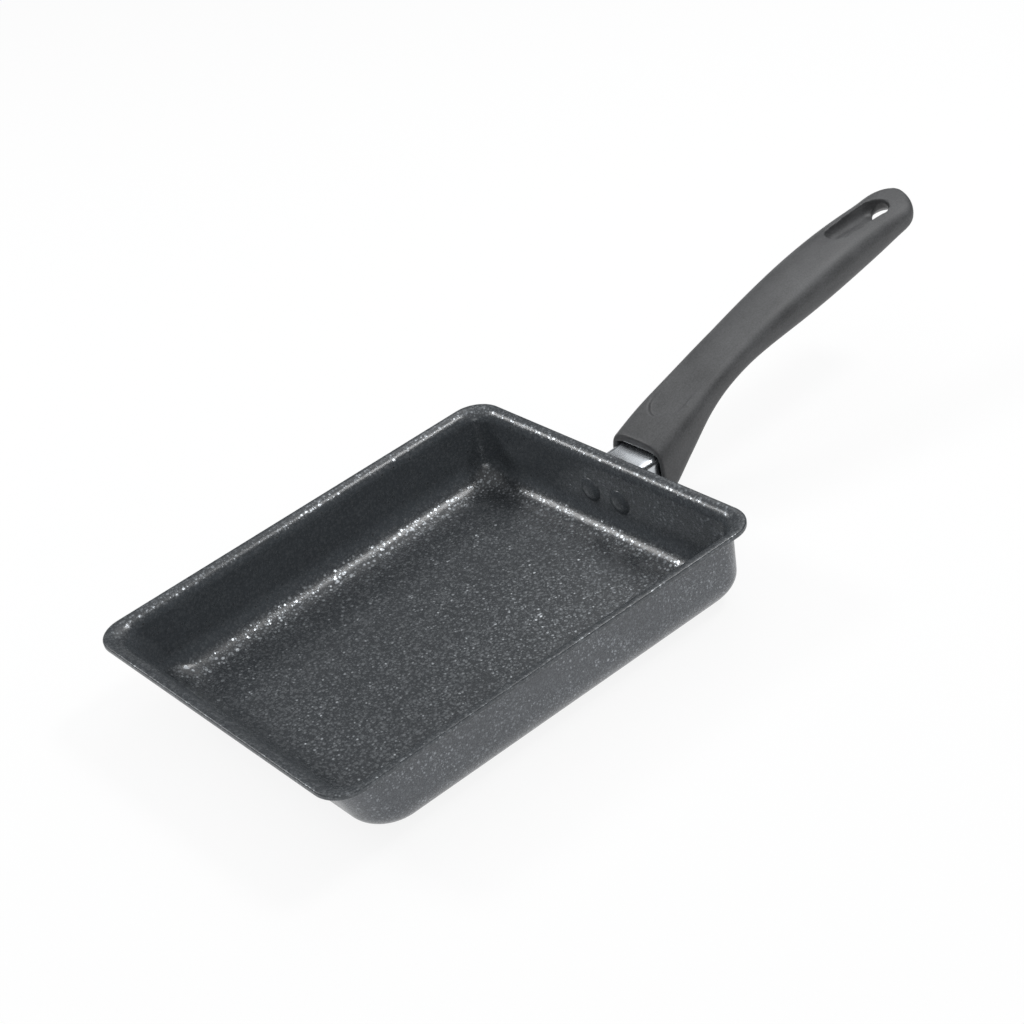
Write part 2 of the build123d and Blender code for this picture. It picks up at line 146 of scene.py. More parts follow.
class CoatingSettings(PropertyGroup):
    ground: colour("Ground", "Colour of the coating between its flecks", (0.0325, 0.0365, 0.0405))
    # Painted light: the same coating outside, painted lighter to stand in for the light the white table throws on the
    # outer walls.
    painted_light_outer_ground: colour("Outer ground", "Colour of the paint outside the tray", (0.097, 0.1055, 0.117))
    outer_fleck: share("Outer fleck", "Strength of the flecks outside, against those inside", 0.55)
    # Painted shade: the flecks on the inner walls are dimmed, standing in for the dark they reflect there.
    wall_fleck_painted_shade: share("Wall fleck", "Strength of the flecks on the inner walls, against the floor's", 0.45)
    # Painted light: the rim's inside takes this share of the inner walls' brightened ground and dimmed flecks.
    rim_share: share("Rim share", "How far the rim's inside looks like the inner walls", 0.6)
    # Painted light: gain on the ground of the upright inner walls, standing in for the lamps' light on them.
    wall_painted_light: share("Wall tone", "Brightness of the inner walls, against the floor's", 2.1, 4.0)
    fleck: colour("Fleck", "Colour of the bright flecks", (0.60, 0.63, 0.66))
    fleck_size: size("Fleck size", "Spacing of the larger flecks", 2.0)
    fleck_waver: size("Fleck waver", "How far the outlines of the flecks waver", 0.25)
    fleck_turn: share("Fleck turn", "How far each fleck is turned out of the surface", 0.42)
    wall_turn: share("Wall fleck turn", "How far each fleck on the inner walls is turned", 0.18)
    roughness: share("Roughness", "Roughness of the coating between flecks", 0.27)
    grain: size("Grain", "Height of the coating's fine grain", 0.06)


class RivetSettings(PropertyGroup):
    spacing: size("Spacing", "Distance between the two rivets", 16.0)
    place_height: size("Height", "Height of the rivets above the table", 17.2)
    head_radius: size("Head radius", "Radius of the low heads inside", 5.2)
    head_height: size("Head height", "Height of the low heads inside", 1.2)
    tail_radius: size("Tail radius", "Radius of the set tails outside", 4.2)
    tail_height: size("Tail height", "Height of the set tails outside", 1.8)
    bare: colour("Bare metal", "Colour of the set tails", (0.66, 0.67, 0.68))
    count: integer("Rivets", "Number of rivets in the row", 2, 1)


class BracketSettings(PropertyGroup):
    steel: colour("Steel", "Colour of the bracket's sheet", (0.56, 0.585, 0.61))
    roughness: share("Roughness", "Roughness of the bracket's sheet", 0.24)
    edge_round: size("Edge round", "Rounding of the sheet's cut edges", 0.18)


class GripSettings(PropertyGroup):
    resin: colour("Resin", "Colour of the moulded grip", (0.0735, 0.0747, 0.0772))
    roughness: share("Roughness", "Roughness of the moulded surface", 0.5)
    front_top: size("Front top", "Height of the grip's top at its tray end", 32.4)
    end_rise: size("Rise", "Rise of the grip's top from end to end", 34.9)
    front_depth: size("Front depth", "Depth of the grip at its tray end", 27.2)
    half_width: size("Half width", "Half of the grip's widest width", 14.1)
    front_dome: number("Front dome", "Squareness of the top near the tray", 3.6)
    end_dome: number("End dome", "Squareness of the top near the far end", 2.3)
    front_belly: number("Front belly", "Squareness of the belly near the tray", 3.4)
    end_belly: number("End belly", "Squareness of the belly near the far end", 2.4)
    front_reach: size("Front reach", "How far the mouth's rim reaches to the tray", 0.9)
    square_fade: share("Square fade", "Share of the length over which the squareness fades", 0.35)
    thumb_start: size("Thumb start", "Where the thumb dish starts", 10.2)
    thumb_length: size("Thumb length", "Length over which the thumb dish fades out", 27.0)
    thumb_near_radius: size("Thumb near radius", "Length of the dish's round near end", 9.0)
    thumb_half_width: size("Thumb half width", "Half width of the thumb dish", 8.2)
    thumb_edge: size("Thumb edge", "Width of the dish's sloping edge", 1.4)
    thumb_depth: size("Thumb depth", "Depth of the thumb dish", 2.2)
    eye_start: size("Eye start", "Where the hanging eye starts", 116.5)
    eye_length: size("Eye length", "Length of the hanging eye", 34.6)
    eye_near_radius: size("Eye near radius", "Radius of the eye's near end", 5.2)
    eye_far_radius: size("Eye far radius", "Radius of the eye's far end", 6.5)
    eye_entry: size("Eye entry", "Depth of the eye's floor at its near end", 4.2)
    eye_entry_length: size("Eye entry length", "Length over which the eye's floor levels", 8.0)
    eye_depth: size("Eye depth", "Depth of the eye's level floor", 6.5)
    eye_round: size("Eye round", "Round where the eye's walls meet its floor", 3.4)
    hole_radius: size("Hole radius", "Radius of the hole through the eye's floor", 4.0)
    hole_inset: size("Hole inset", "Distance of the hole from the eye's far end", 1.7)
    hole_tilt: angle("Hole tilt", "Lean of the hole towards the grip's end", 28.0)
    hole_flare: size("Hole flare", "How much the hole widens below", 6.8)
    hole_spread: size("Hole spread", "How much wider than long the hole gets below", 4.2)
    hole_reach: size("Hole reach", "Length over which the hole widens", 12.0)
    grain_step: size("Mesh step", "Step of the grip's surface mesh", 0.46, 0.0001)
    softening: integer("Softening", "Passes that soften the grip's edges", 4, 0)


class BracketFitSettings(PropertyGroup):
    top_height: size("Top height", "Height of the bracket's level top face", 27.4)
    bend_place: size("Bend place", "Place of the bracket's bend along the handle", 108.6)
    rise_angle: angle("Rise", "Slope of the bracket's tongue", 19.0)
    clearance: size("Clearance", "Gap between the bracket and the grip's hollows", 0.3)
    neck_width: size("Neck width", "Width of the bracket's neck", 22.0)
    neck_drop: size("Neck drop", "Height of the neck's sides", 10.5)
    bend_radius: size("Bend radius", "Outer radius of the neck's bends", 3.2)
    socket_reach: size("Socket reach", "Length of the sloped neck inside the grip", 13.0)
    mouth_wall: size("Mouth wall", "Wall beside the grip's mouth", 2.3)
    mouth_floor: size("Mouth floor", "Wall below the grip's mouth", 4.2)
    mouth_headroom: size("Mouth headroom", "Gap between the bracket's top and the mouth", 1.3)
    mouth_depth: size("Mouth depth", "Depth of the grip's mouth", 5.0)
    mouth_corner: size("Mouth corner", "Corner radius of the grip's mouth", 4.5)
    screw_place: size("Screw place", "Distance of the screw from the bend", 25.0)
    screw_hole: size("Screw hole", "Radius of the hole for the screw", 2.3)
    well_radius: size("Well radius", "Radius of the well for the screw's head", 4.6)
    seat: size("Seat", "Thickness of the grip above the screw's head", 5.2)
    sheet: size("Sheet", "Thickness of the bracket's sheet", 1.5)


class FixingSettings(PropertyGroup):
    zinc: colour("Zinc", "Colour of the plated screw and washer", (0.60, 0.60, 0.59))
    brass: colour("Brass", "Colour of the nut", (0.72, 0.55, 0.27))
    edge_round: size("Edge round", "Rounding of the small edges", 0.15)


class StageSettings(PropertyGroup):
    azimuth: angle("Azimuth", "Camera's bearing about the target", 234.31)
    elevation: angle("Elevation", "Camera's height above the floor", 32.8)
    roll: angle("Roll", "Camera's turn about its own axis", -11.52)
    distance: size("Distance", "Camera's distance from the target", 790.0)
    target_x: size("Target X", "Target along the handle", 76.829)
    target_y: size("Target Y", "Target across the handle", 44.215)
    lens: number("Lens", "Focal length in millimetres on a 36 mm sensor", 69.609)
    floor: colour("Floor", "Colour of the floor", (0.92, 0.92, 0.922))
    glow: share("Glow", "Share of plain white in the floor as seen", 0.88)
    zenith: number("Zenith", "Brightness of the sky overhead", 0.92)
    horizon: number("Horizon", "Brightness of the sky at the horizon", 0.04)
    backdrop: number("Backdrop", "Brightness of the backdrop behind the pan", 0.145)
    front: number("Front", "Power of the lamp above the camera, in watts", 2.1)
    right: number("Right", "Power of the lamp on the right, in watts", 5.0)
    left: number("Left", "Power of the lamp on the left, in watts", 5.0)
    back: number("Back", "Power of the lamp above the grip, in watts", 0.6)


def having(thing, **settings):
    """A new node, modifier, lamp or lens, with its settings."""
    for key, value in settings.items():
        setattr(thing, key, value)
    return thing


# ---- materials


class NodeTree:
    """A node tree, with short ways to add and join its nodes."""

    def __init__(self, tree):
        self.tree = tree
        tree.nodes.clear()

    def join(self, value, socket):
        if isinstance(value, NodeSocket):
            self.tree.links.new(value, socket)
        else:
            socket.default_value = value

    def node(self, kind, inputs=None, **settings):
        made = having(self.tree.nodes.new(kind), **settings)
        for key, value in (inputs or {}).items():
            self.join(value, made.inputs[key])
        return made

    def maths(self, operation, first, second=0.0, clamp=False):
        return self.node("ShaderNodeMath", {0: first, 1: second}, operation=operation, use_clamp=clamp).outputs[0]

    def weighted(self, *parts):
        """The sum of values, each with its weight."""
        total = 0.0
        for value, weight in parts:
            total = self.maths("ADD", self.maths("MULTIPLY", value, weight), total)
        return total

    def vector(self, operation, first, second):
        socket = 3 if operation == "SCALE" else 1
        return self.node("ShaderNodeVectorMath", {0: first, socket: second}, operation=operation).outputs[0]

    def spread(self, value, low, high, to_low, to_high, kind="LINEAR"):
        inputs = {"Value": value, "From Min": low, "From Max": high, "To Min": to_low, "To Max": to_high}
        return self.node("ShaderNodeMapRange", inputs, interpolation_type=kind).outputs["Result"]

    def ease(self, *values):
        return self.spread(*values, kind="SMOOTHSTEP")


class Shading(NodeTree):
    """A material with one shader, whose noises and patterns lie on the piece's own coordinates."""

    def __init__(self, name):
        self.material = bpy.data.materials.new(name)
        self.material.use_nodes = True
        super().__init__(self.material.node_tree)
        self.shader = self.node("ShaderNodeBsdfPrincipled")
        self.output = self.node("ShaderNodeOutputMaterial", {"Surface": self.shader.outputs["BSDF"]})
        self.place = self.node("ShaderNodeTexCoord").outputs["Object"]

    def noise(self, width, detail=2.0, place=None, roughness=0.5, outlet="Fac"):
        inputs = {"Vector": place or self.place, "Scale": 1.0 / width, "Detail": detail, "Roughness": roughness}
        return self.node("ShaderNodeTexNoise", inputs).outputs[outlet]

    def blend(self, amount, first, second):
        return self.node("ShaderNodeMix", {0: amount, 6: first, 7: second}, data_type="RGBA").outputs[2]

    def bump(self, height, distance):
        return self.node("ShaderNodeBump", {"Height": height, "Distance": distance}).outputs["Normal"]

    def set(self, **values):
        for key, value in values.items():
            self.join(value, self.shader.inputs[key.replace("_", " ")])


def rgba(value, gain=1.0):
    return (value[0] * gain, value[1] * gain, value[2] * gain, 1.0)


def speckled_coating(settings):
    """Charcoal coating with metallic flecks of three sizes, each turned its own way, so they glint one by one. Painted
    light: the ground is lighter outside the tray and brighter on the upright inner walls, and painted shade dims the
    flecks on those walls.
    """
    shade = Shading("charcoal_speckle")
    half = (0.5, 0.5, 0.5)
    outside, upright = (
        shade.node("ShaderNodeAttribute", attribute_name=name).outputs["Fac"] for name in ("outside", "upright")
    )
    waver = shade.vector("SUBTRACT", shade.noise(0.7 * MM, 1.0, outlet="Color"), half)
    place = shade.vector("ADD", shade.place, shade.vector("SCALE", waver, settings.fleck_waver))
    drift = shade.noise(24.0 * MM, 3.0)
    mottle = shade.noise(1.3 * MM)
    fleck, facet = 0.0, None
    for step, least, most, strength, outer in FLECK_LAYERS:
        scale = 1.0 / (settings.fleck_size * step)
        cells = shade.node("ShaderNodeTexVoronoi", {"Vector": place, "Scale": scale}, feature="F1").outputs
        split = shade.node("ShaderNodeSeparateColor", {"Color": cells["Color"]}).outputs
        radius = shade.spread(split["Red"], 0.1, 1.0, least, most)
        spot = shade.ease(shade.maths("SUBTRACT", radius, cells["Distance"]), -0.12, 0.14, 0.0, 1.0)
        rare = shade.maths("POWER", split["Green"], 1.8)
        bright = shade.spread(rare, 0.0, 1.0, 0.12 * strength, 0.8 * strength)
        bright = shade.maths("MULTIPLY", bright, shade.spread(outside, 0.0, 1.0, 1.0, outer))
        fleck = shade.maths("MAXIMUM", fleck, shade.maths("MULTIPLY", spot, bright))
        facet = facet or cells["Color"]
    fleck = shade.maths("MULTIPLY", fleck, shade.spread(drift, 0.3, 0.7, 0.65, 1.2), clamp=True)
    fleck = shade.maths("MULTIPLY", fleck, shade.spread(outside, 0.0, 1.0, 1.0, settings.outer_fleck))
    # Painted shade: flecks on upright inner faces are dimmed, standing in for the dark they reflect there.
    fleck = shade.maths("MULTIPLY", fleck, shade.spread(upright, 0.0, 1.0, 1.0, settings.wall_fleck_painted_shade))
    # Painted light: the ground outside the tray is lighter, standing in for the light the white table throws on the
    # outer walls.
    ground = shade.blend(
        shade.weighted((mottle, 0.7), (drift, 0.3)),
        shade.blend(outside, rgba(settings.ground, 0.55), rgba(settings.painted_light_outer_ground, 0.65)),
        shade.blend(outside, rgba(settings.ground, 1.4), rgba(settings.painted_light_outer_ground, 1.35)),
    )
    # Painted light: the ground on upright inner faces is brightened, standing in for the lamps' light on the walls.
    painted_light_share = shade.spread(upright, 0.45, 1.0, 0.0, 1.0)
    ground = shade.blend(painted_light_share, ground, shade.vector("SCALE", ground, settings.wall_painted_light))
    shade.set(Base_Color=shade.blend(fleck, ground, rgba(settings.fleck)))
    shade.set(Metallic=shade.ease(fleck, 0.0, 0.35, 0.0, 0.94))
    fine = shade.noise(0.45 * MM)
    rough = shade.spread(fine, 0.3, 0.7, settings.roughness - 0.04, settings.roughness + 0.06)
    shade.set(Roughness=shade.weighted((rough, 1.0), (fleck, 0.07)))
    height = shade.weighted((fine, 0.35), (shade.noise(1.6 * MM), 0.6), (fleck, 0.4))
    turn = shade.spread(upright, 0.0, 1.0, settings.fleck_turn, settings.wall_turn)
    lean = shade.vector("SCALE", shade.vector("SUBTRACT", facet, half), shade.maths("MULTIPLY", fleck, turn))
    tilted = shade.vector("ADD", shade.bump(height, settings.grain), lean)
    shade.set(Normal=shade.node("ShaderNodeVectorMath", {0: tilted}, operation="NORMALIZE").outputs[0])
    return shade.material


def moulded_resin(settings):
    """Dark matte resin with a fine moulded grain and faint cloudiness."""
    shade = Shading("moulded_resin")
    cloud = shade.noise(14.0 * MM, 4.0)
    grain = shade.noise(0.7 * MM, 4.0, roughness=0.65)
    tone = shade.spread(shade.weighted((cloud, 0.4), (grain, 0.6)), 0.34, 0.66, 0.0, 1.0)
    shade.set(Base_Color=shade.blend(tone, rgba(settings.resin, 0.6), rgba(settings.resin, 1.4)))
    rough = shade.spread(grain, 0.3, 0.7, settings.roughness - 0.05, settings.roughness + 0.06)
    shade.set(Roughness=shade.maths("ADD", rough, shade.ease(cloud, 0.35, 0.65, -0.02, 0.03)))
    shade.set(Normal=shade.bump(shade.weighted((grain, 1.0), (shade.noise(1.1 * MM), 0.6)), 0.02 * MM))
    return shade.material


def rolled_sheet(settings):
    """Rolled sheet steel with fine lines along the grip and slight smears."""
    shade = Shading("rolled_steel")
    drawn = shade.node("ShaderNodeMapping", {"Vector": shade.place, "Scale": (1.0, 14.0, 14.0)}).outputs[0]
    lines = shade.noise(3.2 * MM, 3.0, drawn)
    smear = shade.noise(9.0 * MM, 3.0)
    shade.set(Metallic=1.0, Base_Color=shade.blend(smear, rgba(settings.steel, 0.93), rgba(settings.steel, 1.06)))
    rough = shade.spread(lines, 0.3, 0.7, settings.roughness - 0.05, settings.roughness + 0.07)
    shade.set(Roughness=shade.maths("ADD", rough, shade.ease(smear, 0.4, 0.7, -0.02, 0.04)))
    shade.set(Normal=shade.bump(lines, 0.006 * MM))
    return shade.material


def turned_metal(name, tint, roughness):
    """Small turned or plated metal, with a fine uneven grain."""
    shade = Shading(name)
    grain = shade.noise(0.5 * MM, 3.0)
    shade.set(Metallic=1.0, Base_Color=shade.blend(shade.noise(4.0 * MM), rgba(tint, 0.88), rgba(tint, 1.08)))
    shade.set(Roughness=shade.spread(grain, 0.3, 0.7, roughness - 0.06, roughness + 0.08))
    shade.set(Normal=shade.bump(grain, 0.008 * MM))
    return shade.material


# ---- meshes


def in_scene(name, data):
    piece = bpy.data.objects.new(name, data)
    bpy.context.scene.collection.objects.link(piece)
    return piece


def make_piece(name, points, faces, material):
    mesh = bpy.data.meshes.new(name)
    mesh.from_pydata([tuple(point) for point in points], [], faces)
    mesh.validate()
    mesh.materials.append(material)
    mesh.shade_smooth()
    return in_scene(name, mesh)


def mark_points(piece, name, values):
    """Keeps one number for each point of a piece, which its material reads."""
    piece.data.attributes.new(name, "FLOAT", "POINT").data.foreach_set("value", values)


def stitched(rings):
    """Faces that join rings of equally many points, one after another, and close the two ends."""
    count = len(rings[0])
    points = [point for ring in rings for point in ring]
    faces = [
        (low + step, low + (step + 1) % count, low + count + (step + 1) % count, low + count + step)
        for low in range(0, len(points) - count, count) for step in range(count)
    ]
    faces += [tuple(reversed(range(count))), tuple(range(len(points) - count, len(points)))]
    return points, faces


def round_points(first, sweep, steps):
    """Points (x, y) of a round of radius 1 about the origin, with both its ends; angles in degrees."""
    turns = [radians(first + sweep * k / steps) for k in range(steps + 1)]
    return [(cos(turn), sin(turn)) for turn in turns]


def held(value):
    """A value kept from 0 to 1."""
    return min(1.0, max(0.0, value))


def eased(value):
    """A smooth step from 0 to 1."""
    value = held(value)
    return value * value * (3.0 - 2.0 * value)


def corner_arc(before, corner, after, radius, steps):
    """Points of the round that takes the place of a corner, in one plane with the points beside it."""
    one, two = (before - corner).normalized(), (after - corner).normalized()
    half = one.angle(two) / 2
    centre = corner + (one + two).normalized() * radius / sin(half)
    start, end = (corner + side * radius / tan(half) - centre for side in (one, two))
    turn = start.angle_signed(end)
    return [centre + Matrix.Rotation(-turn * step / steps, 2) @ start for step in range(steps + 1)]


def rounded_corners(points, radii, steps):
    """An open line of (across, height) points with its inner corners rounded."""
    points = [Vector(point) for point in points]
    line = points[:1]
    for before, corner, after, radius in zip(points, points[1:], points[2:], radii):
        line += corner_arc(before, corner, after, radius, steps)
    return line + points[-1:]


def wall_inset(height, base, lean, radius):
    """Inset of a wall's face above its floor, with a round where the two meet."""
    if height >= radius * (1 - sin(lean)):
        return base - height * tan(lean)
    centre = radius * (1 - sin(lean)) / cos(lean)
    return base + centre - sqrt(max(0.0, radius**2 - (radius - height) ** 2))


def four_sided(tray, height, side, back, front, radius):
    """One level ring of the tray: a tapering four-sided outline with round corners."""
    back_x = tray.length / 2 - back
    front_x = front - tray.length / 2
    taper = (tray.width_at_handle - tray.width_at_front) / tray.length
    middle = (tray.width_at_handle + tray.width_at_front) / 2
    corners = [
        Vector((x, hand * ((middle + x * taper) / 2 - side)))
        for x, hand in ((front_x, -1), (back_x, -1), (back_x, 1), (front_x, 1))
    ]
    arcs = [
        corner_arc(corners[index - 1], corner, corners[(index + 1) % 4], radius, tray.corner_steps)
        for index, corner in enumerate(corners)
    ]
    ring = []
    for index, arc in enumerate(arcs):
        beyond = arcs[(index + 1) % 4][0]
        steps = END_STEPS if index % 2 else SIDE_STEPS
        ring += arc + [arc[-1].lerp(beyond, k / steps) for k in range(1, steps)]
    return [(point.x, point.y, height) for point in ring]


def tray_rings(tray):
    """The tray's rings from the middle of its underside, out and over the lip, to the middle of its floor.

    The second value is the number of rings on the outside, below the lip's edge.
    """

    def face(height, skin, floor):
        def inset(draft, radius, above=height - floor):
            lean = atan(draft / tray.height)
            base = tray.lip_overhang + draft + skin / cos(lean) - floor * tan(lean)
            return wall_inset(above, base, lean, radius - skin), base

        side, side_base = inset(tray.side_draft, tray.side_round)
        back, front = inset(0.0, tray.back_round)[0], inset(tray.front_draft, tray.front_round)[0]
        deepest = inset(tray.side_draft, tray.side_round, above=0.0)[0] - side_base
        drawn = max(0.0, (side - side_base) / deepest)
        return height, side, back, front, tray.wall_corner - skin + drawn * skin

    def leaning(height, inset, rest, corner):
        return height, inset + rest * tray.side_draft, inset, inset + rest * tray.front_draft, corner

    def curve(floor, skin, steps=20):
        front_lean = atan(tray.front_draft / tray.height)
        radius = max(tray.side_round, tray.front_round * (1 - sin(front_lean))) - skin
        return [floor + radius * (1 - cos(pi / 2 * k / steps)) for k in range(steps + 1)]

    levels = [face(height, 0.0, 0.0) for height in (*curve(0.0, 0.0), *OUTER_WALL_HEIGHTS)]
    bend_steps = 6
    outer = len(levels) + bend_steps
    below_lip = 1.6 * MM
    lip_bottom = tray.height - tray.lip_edge - tray.lip_rise
    lip = [
        (tray.lip_overhang, lip_bottom - below_lip), (tray.lip_overhang, lip_bottom),
        (0.0, tray.height - tray.lip_edge), (0.0, tray.height), (tray.crest_width, tray.height),
    ]
    for across, height in rounded_corners(lip, tray.lip_rounds, bend_steps):
        weight = across / tray.lip_overhang
        corner = tray.rim_corner + weight * (tray.wall_corner - tray.rim_corner)
        levels.append(leaning(height, across, weight * (1 - height / tray.height), corner))
    spread = tray.lip_overhang + tray.wall - tray.crest_width
    inner_corner = tray.wall_corner - tray.wall
    crest_corner = tray.rim_corner - tray.crest_width
    for k in range(1, tray.flare_steps + 1):
        turn = pi / 2 * (1 - k / tray.flare_steps)
        drop = tray.flare_depth * (1 - sin(turn))
        inset = tray.crest_width + spread * cos(turn)
        corner = crest_corner + cos(turn) * (inner_corner - crest_corner)
        levels.append(leaning(tray.height - drop, inset, drop / tray.height, corner))
    for height in (*INNER_WALL_HEIGHTS, *curve(tray.floor, tray.wall)[::-1]):
        levels.append(face(height, tray.wall, tray.floor))
    rings = [four_sided(tray, *level) for level in levels]
    under = shrunk(rings[0])[::-1]
    return under + rings + shrunk(rings[-1]), len(under) + outer


def shrunk(ring):
    """Rings inside a level ring, down to a small one."""
    middle = sum((Vector(point) for point in ring), Vector()) / len(ring)
    return [[tuple(middle.lerp(Vector(point), part)) for point in ring] for part in (0.97, 0.9, 0.75, 0.5, 0.25, 0.06)]


def turned(profile, segments=64):
    """A turned shape about the X axis from (place along X, radius) points, closed on the axis at both ends."""
    circle = round_points(0, 360, segments)[:-1]
    return stitched([[(x, radius * across, radius * up) for across, up in circle] for x, radius in profile])


def evaluated(piece):
    """The plain mesh of a piece with its modifiers."""
    bpy.context.view_layer.update()
    return bpy.data.meshes.new_from_object(piece.evaluated_get(bpy.context.evaluated_depsgraph_get()))


def row_of(seed, start, offset, count, material):
    """Repeats a seed piece in a row with a geometry node tree, and gives the plain mesh of the row."""
    tree = bpy.data.node_groups.new("row_" + seed.name, "GeometryNodeTree")
    sockets = {}
    for label, kind, value in (("Count", "Int", count), ("Start", "Vector", start), ("Offset", "Vector", offset)):
        socket = tree.interface.new_socket(label, in_out="INPUT", socket_type="NodeSocket" + kind)
        sockets[socket.identifier] = value
    tree.interface.new_socket("Geometry", in_out="OUTPUT", socket_type="NodeSocketGeometry")
    nodes = NodeTree(tree)
    inlet = nodes.node("NodeGroupInput").outputs
    places = {"Count": inlet["Count"], "Start Location": inlet["Start"], "Offset": inlet["Offset"]}
    line = nodes.node("GeometryNodeMeshLine", places).outputs["Mesh"]
    source = nodes.node("GeometryNodeObjectInfo", {"Object": seed}).outputs["Geometry"]
    copies = nodes.node("GeometryNodeInstanceOnPoints", {"Points": line, "Instance": source}).outputs["Instances"]
    real = nodes.node("GeometryNodeRealizeInstances", {"Geometry": copies}).outputs["Geometry"]
    painted = nodes.node("GeometryNodeSetMaterial", {"Geometry": real, "Material": material}).outputs["Geometry"]
    nodes.node("NodeGroupOutput", {"Geometry": painted})
    holder = in_scene(seed.name + "_row", bpy.data.meshes.new(seed.name + "_row"))
    row = holder.modifiers.new("Row", "NODES")
    row.node_group = tree
    for identifier, value in sockets.items():
        row[identifier] = value
    mesh = evaluated(holder)
    bpy.data.objects.remove(holder)
    bpy.data.objects.remove(seed)
    return mesh


def join_meshes(name, meshes):
    """One piece from several meshes, each of which keeps its own material."""
    whole = bmesh.new()
    joined = bpy.data.meshes.new(name)
    for index, mesh in enumerate(meshes):
        first = len(whole.faces)
        whole.from_mesh(mesh)
        whole.faces.ensure_lookup_table()
        for face in whole.faces[first:]:
            face.material_index = index
        joined.materials.append(mesh.materials[0])
    whole.to_mesh(joined)
    whole.free()
    return in_scene(name, joined)


def baked(piece):
    """Turns a piece and its modifiers into a plain mesh."""
    old, mesh = piece.data, evaluated(piece)
    piece.modifiers.clear()
    piece.data = mesh
    bpy.data.meshes.remove(old)
    mesh.name = piece.name


def dress_node(node, name, material, edge_round):
    """A copy of a CAD node's mesh, merged, with its sharp edges rounded and its curves shaded smooth."""
    solid = bmesh.new()
    solid.from_mesh(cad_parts[node].data)
    bmesh.ops.remove_doubles(solid, verts=solid.verts, dist=0.0005 * MM)
    bmesh.ops.dissolve_limit(
        solid, angle_limit=radians(0.6), verts=solid.verts, edges=solid.edges, use_dissolve_boundaries=False
    )
    mesh = bpy.data.meshes.new(name)
    solid.to_mesh(mesh)
    solid.free()
    mesh.materials.append(material)
    piece = in_scene(name, mesh)
    having(
        piece.modifiers.new("Rounded edges", "BEVEL"), width=edge_round, segments=3, limit_method="ANGLE",
        angle_limit=radians(38),
    )
    baked(piece)
    piece.data.shade_smooth()
    piece.data.set_sharp_from_angle(angle=radians(32))
    return piece


def hand_over(piece, node):
    """Hides the CAD node that the piece replaces, and hangs the piece on the root body."""
    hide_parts(node)
    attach(piece, "root")


# ---- grip


def smooth_line(knots, values, places):
    """A smooth curve through values at knots, read at places (a natural cubic spline)."""
    steps = np.diff(knots)
    count = len(knots)
    system = np.eye(count)
    right = np.zeros(count)
    slopes = np.diff(values) / steps
    for k in range(1, count - 1):
        system[k, k - 1 : k + 2] = (steps[k - 1], 2 * (steps[k - 1] + steps[k]), steps[k])
        right[k] = 6 * (slopes[k] - slopes[k - 1])
    bend = np.linalg.solve(system, right)
    index = np.clip(np.searchsorted(knots, places) - 1, 0, count - 2)
    step, low = steps[index], knots[index]
    one, two = (knots[index + 1] - places) / step, (places - low) / step
    return (
        one * values[index] + two * values[index + 1]
        + ((one**3 - one) * bend[index] + (two**3 - two) * bend[index + 1]) * step**2 / 6
    )


def grip_lines(grip, stations):
    """Place, top height, half depth, half width and share of the length, at stations spread along the grip."""
    length = GRIP_HIGH.x - GRIP_LOW.x
    place, top, depth, width = np.array(GRIP_SECTIONS).T
    steps = np.hypot(np.hypot(np.diff(place) * length, np.diff(top) * grip.end_rise), np.diff(width) * grip.half_width)
    knots = np.concatenate([[0.0], np.cumsum(steps)])
    reads = np.linspace(0.0, knots[-1], stations)
    place, top, depth, width = (smooth_line(knots, line, reads) for line in (place, top, depth, width))
    return (
        GRIP_LOW.x + place * length - (1 - place) ** 8 * grip.front_reach, grip.front_top + top * grip.end_rise,
        np.abs(depth) * grip.front_depth / 2, np.abs(width) * grip.half_width, place,
    )


def grip_skin(grip, around=128, stations=260):
    """The grip before its hollows: rounded sections, squarer near the tray, with the thumb dish pressed in."""
    rings = []
    for x, top, half_depth, half_width, place in zip(*grip_lines(grip, stations)):
        fade = held(place / grip.square_fade)
        dome = grip.front_dome + fade * (grip.end_dome - grip.front_dome)
        belly = grip.front_belly + fade * (grip.end_belly - grip.front_belly)
        ring = []
        for cosine, sine in round_points(0, 360, around)[:-1]:
            power = 2 / (dome if sine >= 0 else belly)
            across = copysign(abs(cosine) ** power, cosine) * half_width
            upward = copysign(abs(sine) ** power, sine) * half_depth
            height = top - half_depth + upward
            if sine > 0:
                height -= thumb_dish(grip, x - GRIP_LOW.x, across)
            ring.append((x, across, height))
        rings.append(ring)
    return stitched(rings)


def thumb_dish(grip, along, across):
    """Depth of the thumb dish: a crisp arc at its near end, fading out towards the grip's end."""
    reach = grip.thumb_near_radius
    centre = grip.thumb_start + reach
    side = across / grip.thumb_half_width
    inside = reach * (1.0 - hypot(min(0.0, along - centre) / reach, side))
    if inside <= 0.0:
        return 0.0
    fade = 1.0 - eased((along - grip.thumb_start) / grip.thumb_length)
    return grip.thumb_depth * eased(inside / grip.thumb_edge) * fade


def prism(name, outline, direction, first, last, material):
    """A straight cutter from a flat outline, along a direction from its first place to its last."""
    rings = [[looking_along(direction, end) @ Vector(point) for point in outline] for end in (first, last)]
    return make_piece(name, *stitched(rings), material)


def rounded_rectangle(width, height, radius, top_only=False, steps=10):
    points = []
    for x, y, first in ((1, 1, 0), (-1, 1, 90), (-1, -1, 180), (1, -1, 270)):
        if top_only and y < 0:
            points.append((x * width / 2, y * height / 2, 0.0))
            continue
        for cosine, sine in round_points(first, 90, steps):
            across = x * (width / 2 - radius) + radius * cosine
            points.append((across, y * (height / 2 - radius) + radius * sine, 0.0))
    return points


def placement(x, y, z, origin):
    """A placement from its three axes and its origin."""
    placed = Matrix((x, y, z)).transposed().to_4x4()
    placed.translation = origin
    return placed


def looking_along(direction, origin):
    """A placement whose Z axis points along a direction and whose X axis runs across the grip."""
    z = Vector(direction).normalized()
    x = Vector((0.0, 1.0, 0.0))
    return placement(x, z.cross(x), z, Vector(origin))


